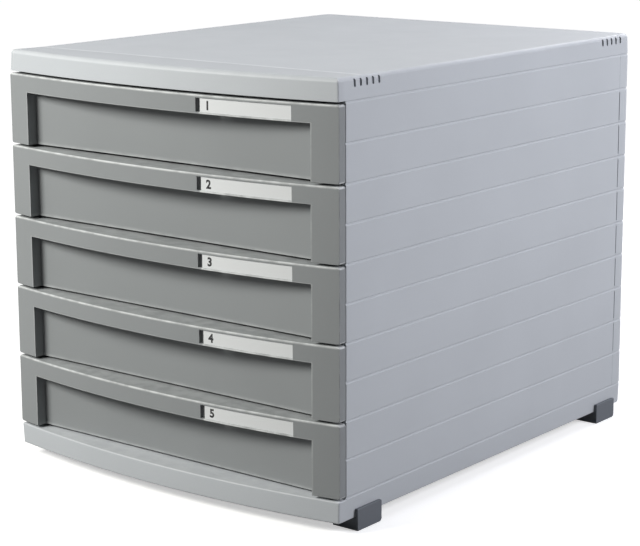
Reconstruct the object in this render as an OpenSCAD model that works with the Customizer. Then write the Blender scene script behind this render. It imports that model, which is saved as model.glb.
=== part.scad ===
// Desktop file drawer: a case on four feet with five sliding drawers.
// Millimetres, +Z up. X runs across, the drawers pull out towards -Y.
// Inside the modules, Y is measured from the plane of the two front corners, and
// seated() moves every piece so that the origin is the middle of the object's base.

/* [Case] */
// Width over the two side panels
case_w = 275; // [240:1:340]
// Depth from the front corners to the back face
case_d = 340; // [280:1:420]
// How far the front bows out in the middle
bow_rise = 12.5; // [6:0.5:18]
// Wall thickness of the case
wall = 3; // [2.5:0.1:4]
// Height of the top cover
lid_h = 15; // [13:0.5:24]
// Height of the base plate's rim
base_h = 15; // [13:0.5:24]
// How much narrower the top cover is at its top, on each side
lid_draft = 0.8; // [0.2:0.1:1.2]
// How much narrower the base is at its bottom, on each side
base_draft = 0.6; // [0.2:0.1:1.2]
// Rounding of the top cover's top edges
lid_edge_r = 2.2; // [1:0.1:3]
// Rounding of the base's bottom edges
base_edge_r = 1.2; // [0.6:0.1:2]
// Rounding of the rear vertical corners
rear_corner_r = 2; // [1:0.1:3]
// Distance from the back face to the seam between side panel and rear cover
seam_inset = 15.3; // [12:0.1:24]
// Width of the open seam between two grooves
seam_w = 1.2; // [0.6:0.1:2]
// Depth of the open seam
seam_depth = 1.6; // [0.8:0.1:2]
// Depth of the horizontal grooves
groove_depth = 0.9; // [0.4:0.1:1.2]
// Half the height of a groove at the surface
groove_half = 1.2; // [0.6:0.1:2]
// Gap between a side panel's front edge and the side of a drawer front
panel_gap = 1; // [0.6:0.1:2]

/* [Joints between the case parts] */
// Thickness of the tongues that locate one case part inside another
tongue_t = 2.5; // [1.5:0.1:3]
// How far a tongue reaches into its neighbour
tongue_h = 7; // [4:0.5:9]
// Gap between a tongue and the wall it stands behind
tongue_gap = 0.2; // [0.1:0.05:0.4]

/* [Drawers] */
// Height taken by one drawer, front and gap
pitch = 48.2; // [40:0.1:90]
// Gap between two drawer fronts
front_gap = 1.6; // [1:0.1:2.4]
// How far a drawer front stands proud of the case, on each side
front_proud = 0.5; // [0:0.1:1]
// Thickness of the drawer front's walls
skin = 2.5; // [2:0.1:3]
// Rounding of a drawer front's four corners
front_corner_r = 1.6; // [0.8:0.1:3]
// Width of the frame at each side of the recess
stile_w = 18.5; // [14:0.5:30]
// Height of the frame's top rail
rail_h = 11.6; // [11.2:0.1:16]
// Distance from the front corners back to the recessed panel
panel_set = 6.2; // [5:0.1:6.4]

/* [Trays] */
// Wall thickness of a tray
tray_wall = 2; // [1.6:0.1:3]
// Free height above a tray's rim, up to the next drawer's place
tray_room = 7.2; // [6:0.1:12]
// Gap under a tray
tray_lift = 2.5; // [2:0.1:4]
// Rounding of the tray's upright corners, outside
tray_corner_r = 5; // [3:0.5:10]
// Thickness of the flange that a tray slides on
flange_t = 2.5; // [2:0.1:3]
// How far the flange stands out from the tray
flange_w = 3.8; // [3:0.1:4]
// How far the stop lug stands out from the flange
lug_w = 2; // [1.5:0.1:2.3]
// Length of the stop lug
lug_l = 6; // [4:0.5:12]
// Distance from the flange's rear end to the stop lug, which the drawer keeps inside when pulled out
lug_inset = 47.7; // [30:0.1:90]
// Width of the ledges on the side panels
ledge_w = 6; // [5:0.1:7]
// Thickness of the ledges
ledge_t = 3; // [2:0.1:3.2]
// Play of a flange above its ledge
run_gap = 0.3; // [0.2:0.05:0.5]
// Play of a flange below the upper rib
top_gap = 0.5; // [0.3:0.05:0.8]
// Thickness of the upper rib
rib_t = 2.2; // [1.5:0.1:2.4]
// Sideways play between a tray and the ledges
side_gap = 0.8; // [0.5:0.1:1.2]

/* [Labels] */
// Width of a label card
card_w = 66.4; // [40:0.5:80]
// Height of the window in front of the card
window_h = 8.6; // [8:0.1:9]
// Thickness of a label card
card_t = 0.6; // [0.4:0.1:0.8]
// Distance from the recess's right side to the card's right end
card_inset = 12.8; // [6:0.1:30]
// Width of the slot at the card's left end, through which it is pushed out
eject_w = 2.9; // [2:0.1:4]
// Height of the lip below the window
sill_h = 1.1; // [1:0.1:1.4]
// How far the lips reach over the card
lip_cover = 0.45; // [0.3:0.05:0.6]
// Thickness of the lips
lip_t = 0.5; // [0.4:0.05:0.7]
// Gap round a card
card_gap = 0.1; // [0.05:0.05:0.2]

/* [Feet] */
// Height of the case above the table
foot_drop = 8; // [5:0.5:15]
// Length of a foot
foot_l = 24.5; // [18:0.5:40]
// Width of a foot's sole
foot_w = 24.5; // [18:0.5:40]
// Thickness of the flange that goes up the side
foot_flange_t = 2; // [1.5:0.1:3]
// How far the flange reaches above the case's underside
foot_flange_h = 6; // [4:0.5:10]
// Rounding of a foot's corners
foot_r = 1.6; // [0.8:0.1:3]
// Distance from the front corners to the front feet
foot_front = 16; // [14:0.5:60]
// Distance from the back face to the rear feet
foot_rear = 15; // [10:0.5:60]
// Radius of the peg that holds a foot
peg_r = 4; // [3:0.5:6]
// How far the peg stands up inside the base
peg_rise = 3; // [1:0.5:4]
// Gap round a peg
peg_gap = 0.05; // [0.05:0.05:0.2]

/* [Slots in the top cover] */
// Slots in one group, above each foot
slot_count = 5; // [3:1:5]
// Distance from one slot to the next
slot_pitch = 6; // [4:0.5:8]
// Width of a slot
slot_w = 1.7; // [1:0.1:2.5]
// Distance from the top cover's lower edge to the slots
slot_sill = 8.2; // [5:0.1:8.4]
// Distance from the top down to the slots
slot_top = 1.4; // [1:0.1:2]

/* [Hidden] */
drawers = 5;
bands_each = 2;

case_grey = [0.74, 0.76, 0.79];
drawer_grey = [0.58, 0.59, 0.58];
tray_grey = [0.64, 0.65, 0.65];
foot_grey = [0.30, 0.31, 0.34];
card_white = [0.90, 0.91, 0.92];

half_w = case_w / 2;
inner_half = half_w - wall;
rear_inner = case_d - wall;
seam_y = case_d - seam_inset;
bow_r = (half_w * half_w + bow_rise * bow_rise) / (2 * bow_rise);
bow_y = bow_r - bow_rise;
mid_y = (case_d - bow_rise) / 2;

// Levels
base_z = foot_drop;
stack_z = base_z + base_h;
lid_z = stack_z + drawers * pitch;
top_z = lid_z + lid_h;
lid_front_z = lid_z + front_gap / 2;
ledge_top = stack_z - front_gap / 2;
band_h = pitch / bands_each;
grooves = drawers * bands_each;
seam_margin = 1.5 * groove_half;

// Drawer fronts, measured from the bottom of a drawer's place in the stack
front_half = half_w + front_proud;
front_z0 = front_gap / 2;
front_z1 = pitch - front_gap / 2;
rail_z = front_z1 - rail_h;
recess_half = half_w - stile_w;
panel_back = panel_set + skin;
panel_front = panel_set + panel_gap;
tray_front = panel_back;

// Tongues inside the case
tongue_face = inner_half - tongue_gap;
tongue_in = inner_half - tongue_gap - tongue_t;
tongue_root = 6;
tongue_end_gap = 6.8;
rib_lip_gap = 0.7;
rib_end = seam_y - tongue_h - rib_lip_gap;

// Trays and runners, heights measured like the fronts
ledge_edge = inner_half - ledge_w;
tray_half = ledge_edge - side_gap;
tray_back = rear_inner - tongue_t - tongue_gap - side_gap;
flange_half = tray_half + flange_w;
lug_half = flange_half + lug_w;
flange_z1 = pitch - tray_room;
tray_h = flange_z1 - tray_lift;
flange_z0 = flange_z1 - flange_t;
rib_front_gap = 0.3;
rib_front = panel_back + rib_front_gap;
stop_l = 3;
stop_gap = 0.5;
flange_end_gap = 1;
stop_y = rib_front + stop_l;
flange_front = tray_front + tray_corner_r;
flange_back = rib_end - flange_end_gap;
lug_y = flange_back - lug_inset - lug_l;

// Label pocket
card_x1 = recess_half - card_inset;
card_x0 = card_x1 - card_w;
window_z0 = rail_z + sill_h;
window_z1 = window_z0 + window_h;
pocket_in = lip_t + card_t + 2 * card_gap;

// Feet and the slots above them
foot_front_y = foot_front + foot_l / 2;
foot_rear_y = case_d - foot_rear - foot_l / 2;
foot_out = half_w + foot_flange_t;
foot_in = foot_out - foot_w;
peg_x = (foot_in + inner_half) / 2;

over = 1;       // how far a cutter reaches past what it cuts
bow_fn = 720;
arc_fn = 48;

// Helpers

module seated() {
    translate([0, -mid_y, 0]) children();
}

module both_sides() {
    children();
    mirror([1, 0, 0]) children();
}

// Everything behind the bowed face, pushed back by inset, between two heights
module behind_bow(inset, z0, z1) {
    translate([0, bow_y, z0]) cylinder(r = bow_r - inset, h = z1 - z0, $fn = bow_fn);
}

module block(x0, x1, y0, y1, z0, z1) {
    translate([x0, y0, z0]) cube([x1 - x0, y1 - y0, z1 - z0]);
}

// Outline with two rounded rear corners, drawn from y = front to y = back
module rear_rounded(half, front, back, r) {
    translate([-half, front]) square([2 * half, back - r - front]);
    translate([r - half, front]) square([2 * (half - r), back - front]);
    for (side = [-1, 1])
        translate([side * (half - r), back - r]) circle(r = r, $fn = arc_fn);
}

// Half of an upright section: half wide at the foot, narrower by draft at the top, top edge rounded
module drafted_half(half, h, draft, r) {
    lean = atan(draft / h);
    cz = h - r;
    cx = half - cz * tan(lean) - r / cos(lean);
    polygon([[0, 0], [half, 0], [cx + r * cos(lean), cz + r * sin(lean)], [cx, h], [0, h]]);
    translate([cx, cz]) circle(r = r, $fn = arc_fn);
}

// A solid of the case's outline with drafted sides and front, foot at z = 0, rounded edge at z = h
module drafted_block(h, draft, r) {
    intersection() {
        translate([0, -bow_rise - over, 0]) rotate([90, 0, 0]) mirror([0, 0, 1])
            linear_extrude(case_d + bow_rise + over)
                both_sides() drafted_half(half_w, h, draft, r);
        translate([0, bow_y, 0]) rotate_extrude($fn = bow_fn) drafted_half(bow_r, h, draft, r);
        translate([0, 0, -over]) linear_extrude(h + 2 * over)
            rear_rounded(half_w, -bow_rise - over, case_d, rear_corner_r);
        rotate([90, 0, 90]) translate([0, 0, -half_w - over]) linear_extrude(case_w + 2 * over)
            rear_edge_section(h, r);
    }
}

// Side view of a block whose rear edge is rounded at the height h
module rear_edge_section(h, r) {
    translate([-bow_rise - over, 0]) square([case_d + bow_rise + over, h - r]);
    translate([-bow_rise - over, 0]) square([case_d - r + bow_rise + over, h]);
    translate([case_d - r, h - r]) circle(r = r, $fn = arc_fn);
}

// One groove round the sides and the back, centred on height z
module groove(z) {
    both_sides()
        translate([half_w, panel_front - over, z]) rotate([-90, 0, 0])
            linear_extrude(case_d - panel_front + 2 * over) groove_section();
    translate([-half_w - over, case_d, z]) rotate([90, 0, 90])
        linear_extrude(case_w + 2 * over) groove_section();
}

module groove_section() {
    polygon([[-groove_depth, 0], [over, -groove_half * k_over()], [over, groove_half * k_over()]]);
}

// The cutter is wider past the surface in proportion, so the groove keeps its width there
function k_over() = (groove_depth + over) / groove_depth;

module all_grooves() {
    for (k = [0:grooves]) groove(stack_z + k * band_h);
}

// Clears the front corner of a case part, where a drawer front's side stands
module front_step(z0, z1) {
    block(-half_w - over, half_w + over, -bow_rise - over, panel_front, z0, z1);
}

// Case parts

module top_cover() {
    color(case_grey) difference() {
        translate([0, 0, lid_z]) drafted_block(lid_h, lid_draft, lid_edge_r);
        intersection() {
            block(-inner_half, inner_half, -bow_rise, rear_inner, lid_z - over, top_z - wall);
            behind_bow(wall, lid_z - over, top_z - wall);
        }
        front_step(lid_z - over, lid_front_z);
        groove(lid_z);
        for (y = [foot_front_y, foot_rear_y]) both_sides() slot_group(y);
    }
}

module slot_group(y) {
    first_y = y - (slot_count - 1) / 2 * slot_pitch - slot_w / 2;
    for (k = [0:slot_count - 1])
        translate([inner_half - over, first_y + k * slot_pitch, lid_z + slot_sill])
            cube([wall + 2 * over, slot_w, lid_h - slot_sill - slot_top]);
}

module base_plate() {
    color(case_grey) difference() {
        translate([0, 0, stack_z]) mirror([0, 0, 1]) drafted_block(base_h, base_draft, base_edge_r);
        // the hollow, which also reaches under the front ledge
        intersection() {
            block(-inner_half, inner_half, -bow_rise, rear_inner, base_z + wall, ledge_top - wall);
            behind_bow(wall, base_z + wall, ledge_top - wall);
        }
        block(-inner_half, inner_half, panel_front + wall, rear_inner, base_z + wall, stack_z + over);
        front_step(ledge_top, stack_z + over);
        groove(stack_z);
        for (y = [foot_front_y, foot_rear_y]) both_sides()
            translate([peg_x, y, base_z - over])
                cylinder(r = peg_r + peg_gap, h = wall + 2 * over, $fn = arc_fn);
    }
}

// The right side panel; the left one is its mirror image
module side_panel() {
    difference() {
        block(inner_half, half_w, panel_front, seam_y, stack_z, lid_z);
        all_grooves();
    }
    for (z = [stack_z, lid_z]) side_tongue(z);
    for (i = [1:drawers]) translate([0, 0, place_z(i)]) runner();
}

// A tongue that stands behind the wall of the part across the joint at height z
module side_tongue(z) {
    inward = z == stack_z ? 1 : -1;
    y0 = panel_front + tongue_end_gap;
    y1 = rib_end;
    z_in = z + inward * tongue_root;
    z_out = z - inward * tongue_h;
    block(tongue_in, inner_half, y0, y1, min(z, z_in), max(z, z_in));
    block(tongue_in, tongue_face, y0, y1, min(z, z_out), max(z, z_out));
}

// Ledge under a tray's flange, rib over it, and the stop at the front
module runner() {
    block(ledge_edge, inner_half, rib_front, rib_end, flange_z0 - run_gap - ledge_t, flange_z0 - run_gap);
    block(ledge_edge, inner_half, rib_front, rib_end, flange_z1 + top_gap, flange_z1 + top_gap + rib_t);
    block(flange_half + stop_gap, inner_half, rib_front, stop_y, flange_z0 - run_gap, flange_z1 + top_gap);
}

module side_panel_right() {
    color(case_grey) side_panel();
}

module side_panel_left() {
    color(case_grey) mirror([1, 0, 0]) side_panel();
}

module rear_cover() {
    color(case_grey) {
        difference() {
            translate([0, 0, stack_z]) linear_extrude(lid_z - stack_z)
                rear_rounded(half_w, seam_y, case_d, rear_corner_r);
            block(-inner_half, inner_half, seam_y - over, rear_inner, stack_z - over, lid_z + over);
            all_grooves();
            for (k = [0:grooves - 1]) both_sides() seam_slot(stack_z + k * band_h);
        }
        for (z = [stack_z, lid_z]) rear_tongue(z);
        both_sides() seam_lip();
    }
}

// The open seam along one band
module seam_slot(z) {
    block(half_w - seam_depth, half_w + over, seam_y - over, seam_y + seam_w,
        z + seam_margin, z + band_h - seam_margin);
}

// A strip that reaches forward behind the side panel's rear edge
module seam_lip() {
    z0 = stack_z + tongue_root + 1;
    z1 = lid_z - tongue_root - 1;
    block(tongue_in, inner_half, seam_y, rear_inner, z0, z1);
    block(tongue_in, tongue_face, seam_y - tongue_h, seam_y, z0, z1);
}

module rear_tongue(z) {
    inward = z == stack_z ? 1 : -1;
    x = inner_half - tongue_t - tongue_end_gap;
    z_in = z + inward * tongue_root;
    z_out = z - inward * tongue_h;
    y0 = rear_inner - tongue_gap - tongue_t;
    block(-x, x, y0, rear_inner, min(z, z_in), max(z, z_in));
    block(-x, x, y0, rear_inner - tongue_gap, min(z, z_out), max(z, z_out));
}

// Feet

// The right foot whose middle is at y; the left one is its mirror image
module foot(y) {
    color(foot_grey) {
        translate([foot_in, y, 0]) rotate([90, 0, 90]) linear_extrude(foot_w)
            foot_outline(foot_drop);
        translate([half_w, y, 0]) rotate([90, 0, 90]) linear_extrude(foot_flange_t)
            foot_outline(foot_drop + foot_flange_h);
        translate([peg_x, y, foot_drop - over]) cylinder(r = peg_r, h = wall + peg_rise + over, $fn = arc_fn);
    }
}

// Side view of a foot of height h; the flange has round corners, the sole only at its bottom
module foot_outline(h) {
    flange = h > foot_drop;
    top_r = flange ? foot_r : 0;
    l = foot_l / 2;
    translate([-l, foot_r]) square([foot_l, h - foot_r - top_r]);
    translate([foot_r - l, 0]) square([foot_l - 2 * foot_r, h]);
    for (side = [-1, 1]) {
        translate([side * (l - foot_r), foot_r]) circle(r = foot_r, $fn = arc_fn);
        if (flange) translate([side * (l - foot_r), h - foot_r]) circle(r = foot_r, $fn = arc_fn);
    }
}

module foot_front_right() {
    foot(foot_front_y);
}

module foot_front_left() {
    mirror([1, 0, 0]) foot(foot_front_y);
}

module foot_rear_right() {
    foot(foot_rear_y);
}

module foot_rear_left() {
    mirror([1, 0, 0]) foot(foot_rear_y);
}

// Drawers, numbered from the top

function place_z(i) = lid_z - i * pitch;

module drawer_front(i) {
    color(drawer_grey) translate([0, 0, place_z(i)]) difference() {
        intersection() {
            translate([0, panel_back, 0]) rotate([90, 0, 0]) linear_extrude(panel_back + bow_rise + over)
                rounded_box(front_half, front_z0, front_z1, front_corner_r);
            behind_bow(0, front_z0, front_z1);
        }
        block(-recess_half, recess_half, -bow_rise - over, panel_set, front_z0 - over, rail_z);
        front_hollow(-recess_half, recess_half, panel_set, rail_z - over, front_z1 - skin);
        both_sides() {
            front_hollow(recess_half + skin, front_half - skin, panel_back + over,
                front_z0 + skin, front_z1 - skin);
            block(inner_half - side_gap, front_half + over, panel_set, panel_back + over,
                front_z0 - over, front_z1 + over);
        }
        label_pocket();
    }
}

// A hollow behind the bowed skin
module front_hollow(x0, x1, y1, z0, z1) {
    intersection() {
        block(x0, x1, -bow_rise, y1, z0, z1);
        behind_bow(skin, z0, z1);
    }
}

// The pocket that holds the card, its window, and the slot at its left end
module label_pocket() {
    difference() {
        block(card_x0, card_x1, -bow_rise - over, panel_set, window_z0, window_z1);
        behind_bow(lip_t, window_z0 - over, window_z1 + over);
    }
    layer(lip_t, pocket_in, card_x0 - over, card_x1 + card_gap, window_z0 - lip_cover, window_z1 + lip_cover);
    block(card_x0 - eject_w, card_x0, -bow_rise - over, panel_set, window_z0, window_z1);
}

// A curved layer that lies between two depths behind the bowed face
module layer(depth0, depth1, x0, x1, z0, z1) {
    intersection() {
        block(x0, x1, -bow_rise, panel_set, z0, z1);
        difference() {
            behind_bow(depth0, z0, z1);
            behind_bow(depth1, z0 - over, z1 + over);
        }
    }
}

module label_card(i) {
    color(card_white) translate([0, 0, place_z(i)])
        layer(lip_t + card_gap, lip_t + card_gap + card_t, card_x0, card_x1,
            window_z0 - lip_cover + card_gap, window_z1 + lip_cover - card_gap);
}

module drawer_tray(i) {
    color(tray_grey) translate([0, 0, place_z(i)]) {
        difference() {
            translate([0, 0, tray_lift]) linear_extrude(tray_h)
                rounded_box(tray_half, tray_front, tray_back, tray_corner_r);
            translate([0, 0, tray_lift + tray_wall]) linear_extrude(tray_h)
                rounded_box(tray_half - tray_wall, tray_front + tray_wall, tray_back - tray_wall,
                    tray_corner_r - tray_wall);
        }
        both_sides() {
            block(tray_half - tray_wall / 2, flange_half, flange_front, flange_back, flange_z0, flange_z1);
            block(flange_half - over, lug_half, lug_y, lug_y + lug_l, flange_z0, flange_z1);
        }
    }
}

// Outline with four rounded corners
module rounded_box(half, front, back, r) {
    translate([-half, front + r]) square([2 * half, back - front - 2 * r]);
    translate([r - half, front]) square([2 * (half - r), back - front]);
    for (x = [r - half, half - r], y = [front + r, back - r])
        translate([x, y]) circle(r = r, $fn = arc_fn);
}

seated() top_cover();
seated() base_plate();
seated() side_panel_left();
seated() side_panel_right();
seated() rear_cover();
seated() foot_front_left();
seated() foot_front_right();
seated() foot_rear_left();
seated() foot_rear_right();
for (i = [1:drawers]) {
    seated() drawer_tray(i);
    seated() drawer_front(i);
    seated() label_card(i);
}
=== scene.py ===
"""Looks of a desktop file drawer: a light grey case on four feet with five bowed, recessed drawer fronts.

Every outline is worked in millimetres. Across is x and up is z, as in the frame. Front to back is a
depth: up to BACK / 2 it is measured from the bowed face, and from BACK on it is BACK plus the distance
from the plane of the two front corners. place() turns it into the frame's y.
"""

import math
from collections import namedtuple

import bmesh
import bpy
import numpy as np
from mathutils import Matrix, Vector


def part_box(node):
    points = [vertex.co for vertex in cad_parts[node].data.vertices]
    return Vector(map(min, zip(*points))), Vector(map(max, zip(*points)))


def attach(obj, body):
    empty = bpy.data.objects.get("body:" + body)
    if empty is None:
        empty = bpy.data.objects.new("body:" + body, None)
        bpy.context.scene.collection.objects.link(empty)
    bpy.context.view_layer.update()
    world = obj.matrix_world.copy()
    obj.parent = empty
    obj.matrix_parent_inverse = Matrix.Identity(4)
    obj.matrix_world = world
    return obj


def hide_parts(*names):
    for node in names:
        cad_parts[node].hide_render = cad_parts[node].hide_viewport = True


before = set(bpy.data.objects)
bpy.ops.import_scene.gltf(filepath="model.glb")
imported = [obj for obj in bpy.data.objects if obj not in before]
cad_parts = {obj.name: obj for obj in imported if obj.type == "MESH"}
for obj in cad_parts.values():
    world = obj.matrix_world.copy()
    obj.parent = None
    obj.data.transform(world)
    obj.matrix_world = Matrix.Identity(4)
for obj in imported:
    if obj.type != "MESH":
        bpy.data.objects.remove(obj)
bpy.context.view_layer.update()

# ---------------------------------------------------------------- sizes

MM = 1000.0          # millimetres in a metre
BACK = 1000.0        # added to a depth that is measured from the plane of the front corners
DRAWERS = 5
BANDS = 10           # bands between the grooves on the case's sides

Box = namedtuple("Box", "x0 x1 y0 y1 z0 z1")


def node_box(node):
    """The box of a CAD node, in millimetres."""
    low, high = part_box(node)
    return Box(*[round(v * MM, 3) for pair in zip(low, high) for v in pair])


LID = node_box("top_cover")
BASE = node_box("base_plate")
PANEL = node_box("side_panel_right")
REAR = node_box("rear_cover")
FRONT = node_box("drawer_front_1")

BOW_RISE = 12.5                             # how far the front bows out in its middle
HALF_W = PANEL.x1
BOW_R = (HALF_W ** 2 + BOW_RISE ** 2) / (2 * BOW_RISE)
CORNER_Y = FRONT.y0 + BOW_RISE              # the frame's y of the two front corners
CASE_BACK = REAR.y1 - CORNER_Y              # depth of the back face
SEAM = PANEL.y1 - CORNER_Y                  # depth of the seam between side panel and rear cover
PANEL_FRONT = PANEL.y0 - CORNER_Y           # depth of the side panels' front edges
FRONT_BACK = FRONT.y1 - CORNER_Y            # depth of the drawer fronts' backs
STACK_Z = BASE.z1                           # bottom of the stack of drawers
LID_Z = LID.z0                              # top of the stack
PITCH = (LID_Z - STACK_Z) / DRAWERS
BAND = (LID_Z - STACK_Z) / BANDS
WALL = 3.0
INNER_HALF = HALF_W - WALL
FRONT_GAP = 1.6                             # between two drawer fronts
LID_DRAFT = 0.8                             # how far the lid leans in up to its top
BASE_DRAFT = 0.6                            # how far the base leans in down to its bottom
CORNER_R = 7.0                              # upright rear corners
CORNER_SEGMENTS = 5

# Half of a groove's section: distance from its middle line, depth there
GROOVE = ((0.4, 0.45), (0.8, 0.06), (1.1, 0.0))
GROOVE_MARGIN = 2.0                         # between a groove's middle line and the open seam
GROOVE_FRONT = PANEL_FRONT - 0.5            # depth where the grooves begin

BOW_STEP = 3.0                              # width of the strips that the bowed faces are made of
PAST = 1.0                                  # how far a cut goes past the surface that it opens
NEAR = 0.02                                 # places no farther apart than this are the same
SLIVER = 0.001                              # faces and edges smaller than this are taken out
SHARP = math.radians(28)                    # an edge has to turn more than this to be rounded
SMOOTH = math.radians(40)                   # an edge that turns less than this is shaded smooth
ALONG = 0.999                               # share of its length that an edge along an axis has on it
NORMAL_WEIGHT = 80                          # how much large faces rule the shading beside them


# ---------------------------------------------------------------- mesh code

def bow(x):
    """Depth of the bowed face at x, from the plane of the front corners."""
    return BOW_R - BOW_RISE - math.sqrt(BOW_R ** 2 - x * x)


def place(x, depth, z):
    """The point in the frame, in metres."""
    y = depth - BACK if depth > BACK / 2 else bow(x) + depth
    return Vector((x, y + CORNER_Y, z)) / MM


def block_mesh(steps):
    """A closed mesh of boxes filled in (True) and cut away (False) in turn.

    Each step is (fill, x0, x1, d0, d1, z0, z1).
    """
    breaks = []
    for axis in range(3):
        breaks.append(sorted({round(s[k], 4) for s in steps for k in (1 + 2 * axis, 2 + 2 * axis)}))
    solid = np.zeros([len(b) + 1 for b in breaks], bool)
    for fill, *ends in steps:
        span = [breaks[k // 2].index(round(v, 4)) for k, v in enumerate(ends)]
        solid[span[0] + 1:span[1] + 1, span[2] + 1:span[3] + 1, span[4] + 1:span[5] + 1] = fill

    bm = bmesh.new()
    made = {}

    def corner(index):
        if index not in made:
            made[index] = bm.verts.new([breaks[a][index[a]] for a in range(3)])
        return made[index]

    for axis in range(3):
        u, v = (axis + 1) % 3, (axis + 2) % 3
        low = np.take(solid, range(solid.shape[axis] - 1), axis)
        high = np.take(solid, range(1, solid.shape[axis]), axis)
        for cell in np.argwhere(low != high):
            at = [int(c) for c in cell]
            ring = []
            for du, dv in ((0, 0), (1, 0), (1, 1), (0, 1)):
                index = at[:]
                index[u] += du - 1
                index[v] += dv - 1
                ring.append(corner(tuple(index)))
            if high[tuple(cell)]:
                ring.reverse()
            bm.faces.new(ring)
    if not all(e.is_manifold for e in bm.edges):
        raise ValueError("two boxes touch only along an edge")
    # layers for paler edges, which are wear and painted highlight, and for painted shade
    for name in ("edge_wear_and_highlight", "shade"):
        bm.verts.layers.float.new(name)
    bmesh.ops.dissolve_limit(bm, angle_limit=0.001, verts=bm.verts[:], edges=bm.edges[:])
    return bm


def axis_of(edge):
    """0, 1 or 2 for an edge along x, depth or z, and None for any other."""
    way = edge.verts[1].co - edge.verts[0].co
    for axis in range(3):
        if abs(way[axis]) > ALONG * way.length:
            return axis
    return None


def round_edges(bm, radius, segments, pick, wear_and_highlight=1.0, spill=0.0):
    """Rounds the sharp edges for which pick(axis, middle) is true.

    Convex ones are made paler in their middle by wear_and_highlight, which is worn edges on some parts and
    painted highlight on others, and at both borders by the part of it that spill gives.
    """
    chosen = []
    for e in bm.edges:
        if len(e.link_faces) == 2 and e.calc_face_angle(0) > SHARP:
            if pick(axis_of(e), (e.verts[0].co + e.verts[1].co) / 2):
                chosen.append(e)
    if not chosen:
        raise ValueError("no edge was picked to round")
    outward = sum(e.is_convex for e in chosen) * 2 > len(chosen)
    out = bmesh.ops.bevel(bm, geom=chosen, offset=radius, offset_type="OFFSET", segments=segments,
                          profile=0.5, affect="EDGES", clamp_overlap=True, material=-1)
    if outward:
        layer = bm.verts.layers.float["edge_wear_and_highlight"]
        strip = set(out["faces"])
        for f in strip:
            for v in f.verts:
                inside = all(g in strip for g in v.link_faces)
                v[layer] = max(v[layer], wear_and_highlight if inside else wear_and_highlight * spill)
    bmesh.ops.dissolve_degenerate(bm, dist=SLIVER, edges=bm.edges[:])


def cut_loops(bm, axis, places):
    """Adds a ring of edges at each place along an axis."""
    for at in places:
        point = Vector((0, 0, 0))
        point[axis] = at
        normal = Vector((0, 0, 0))
        normal[axis] = 1
        everything = bm.verts[:] + bm.edges[:] + bm.faces[:]
        bmesh.ops.bisect_plane(bm, geom=everything, dist=1e-4, plane_co=point, plane_no=normal)


def steps_between(low, high, step):
    """Evenly spaced places between two ends, about a step apart."""
    count = max(1, round((high - low) / step))
    return [low + (high - low) * k / count for k in range(1, count)]


def round_corners(bm):
    """Rounds the upright rear corners, by turning the square in each into a sector of a circle."""
    cx, cy = HALF_W - CORNER_R, BACK + CASE_BACK - CORNER_R
    for k in range(CORNER_SEGMENTS):
        step = CORNER_R * k / CORNER_SEGMENTS
        cut_loops(bm, 0, (-cx - step, cx + step))
        cut_loops(bm, 1, (cy + step,))
    for v in bm.verts:
        u, w = abs(v.co.x) - cx, v.co.y - cy
        if min(u, w) <= 0:
            continue
        reach = max(u, w)
        turn = math.pi / 4 * min(u, w) / reach
        if u < w:
            turn = math.pi / 2 - turn
        v.co.x = math.copysign(cx + reach * math.cos(turn), v.co.x)
        v.co.y = cy + reach * math.sin(turn)


def groove_depth(distance):
    """How deep a groove is at a distance from its middle line."""
    if distance <= GROOVE[0][0]:
        return GROOVE[0][1]
    for (d0, deep0), (d1, deep1) in zip(GROOVE, GROOVE[1:]):
        if distance <= d1:
            return deep0 + (deep1 - deep0) * (distance - d0) / (d1 - d0)
    return 0.0


def cut_groove(bm, z):
    """A groove round the sides and the back at the height z."""
    cut_loops(bm, 2, [z + side * distance for distance, _ in GROOVE for side in (-1, 1)])
    cx, cy = HALF_W - CORNER_R, BACK + CASE_BACK - CORNER_R
    for v in bm.verts:
        deep = groove_depth(abs(v.co.z - z))
        if deep == 0 or v.co.y < BACK + GROOVE_FRONT:
            continue
        out_x, out_y = abs(v.co.x) - cx, v.co.y - cy
        side = math.copysign(1, v.co.x)
        if out_x > 0 and out_y > 0:
            away = math.hypot(out_x, out_y)
            if away > CORNER_R - deep:
                v.co.x = side * (cx + out_x * (CORNER_R - deep) / away)
                v.co.y = cy + out_y * (CORNER_R - deep) / away
        elif abs(v.co.x) > HALF_W - deep:
            v.co.x = side * (HALF_W - deep)
        elif v.co.y > BACK + CASE_BACK - deep:
            v.co.y = BACK + CASE_BACK - deep


def mirror(bm):
    """Turns a piece of the right side into that of the left side."""
    for v in bm.verts:
        v.co.x = -v.co.x
    bmesh.ops.reverse_faces(bm, faces=bm.faces[:])


def finish_mesh(bm, name):
    """Turns the work in millimetres into a mesh in the frame."""
    for v in bm.verts:
        v.co = place(*v.co)
    bmesh.ops.recalc_face_normals(bm, faces=bm.faces[:])
    mesh = bpy.data.meshes.new(name)
    bm.to_mesh(mesh)
    bm.free()
    mesh.shade_smooth()
    mesh.set_sharp_from_angle(angle=SMOOTH)
    return mesh


def make_piece(mesh, name, body, material, nodes=()):
    """Puts a mesh in the scene as a piece that rides on a body and stands for CAD nodes."""
    obj = bpy.data.objects.new(name, mesh)
    bpy.context.scene.collection.objects.link(obj)
    mesh.materials.append(material)
    normals = obj.modifiers.new("even_normals", "WEIGHTED_NORMAL")
    normals.keep_sharp = True
    normals.weight = NORMAL_WEIGHT
    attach(obj, body)
    if nodes:
        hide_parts(*nodes)
    return obj


# ---------------------------------------------------------------- materials

def srgb(red, green, blue):
    """A colour written as it looks, 0 to 255, as the linear colour that a shader takes."""
    linear = []
    for level in (red, green, blue):
        c = level / 255
        linear.append(c / 12.92 if c <= 0.04045 else ((c + 0.055) / 1.055) ** 2.4)
    return (*linear, 1.0)


def new_material(name):
    mat = bpy.data.materials.new(name)
    mat.use_nodes = True
    mat.node_tree.nodes.clear()
    return mat


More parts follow.
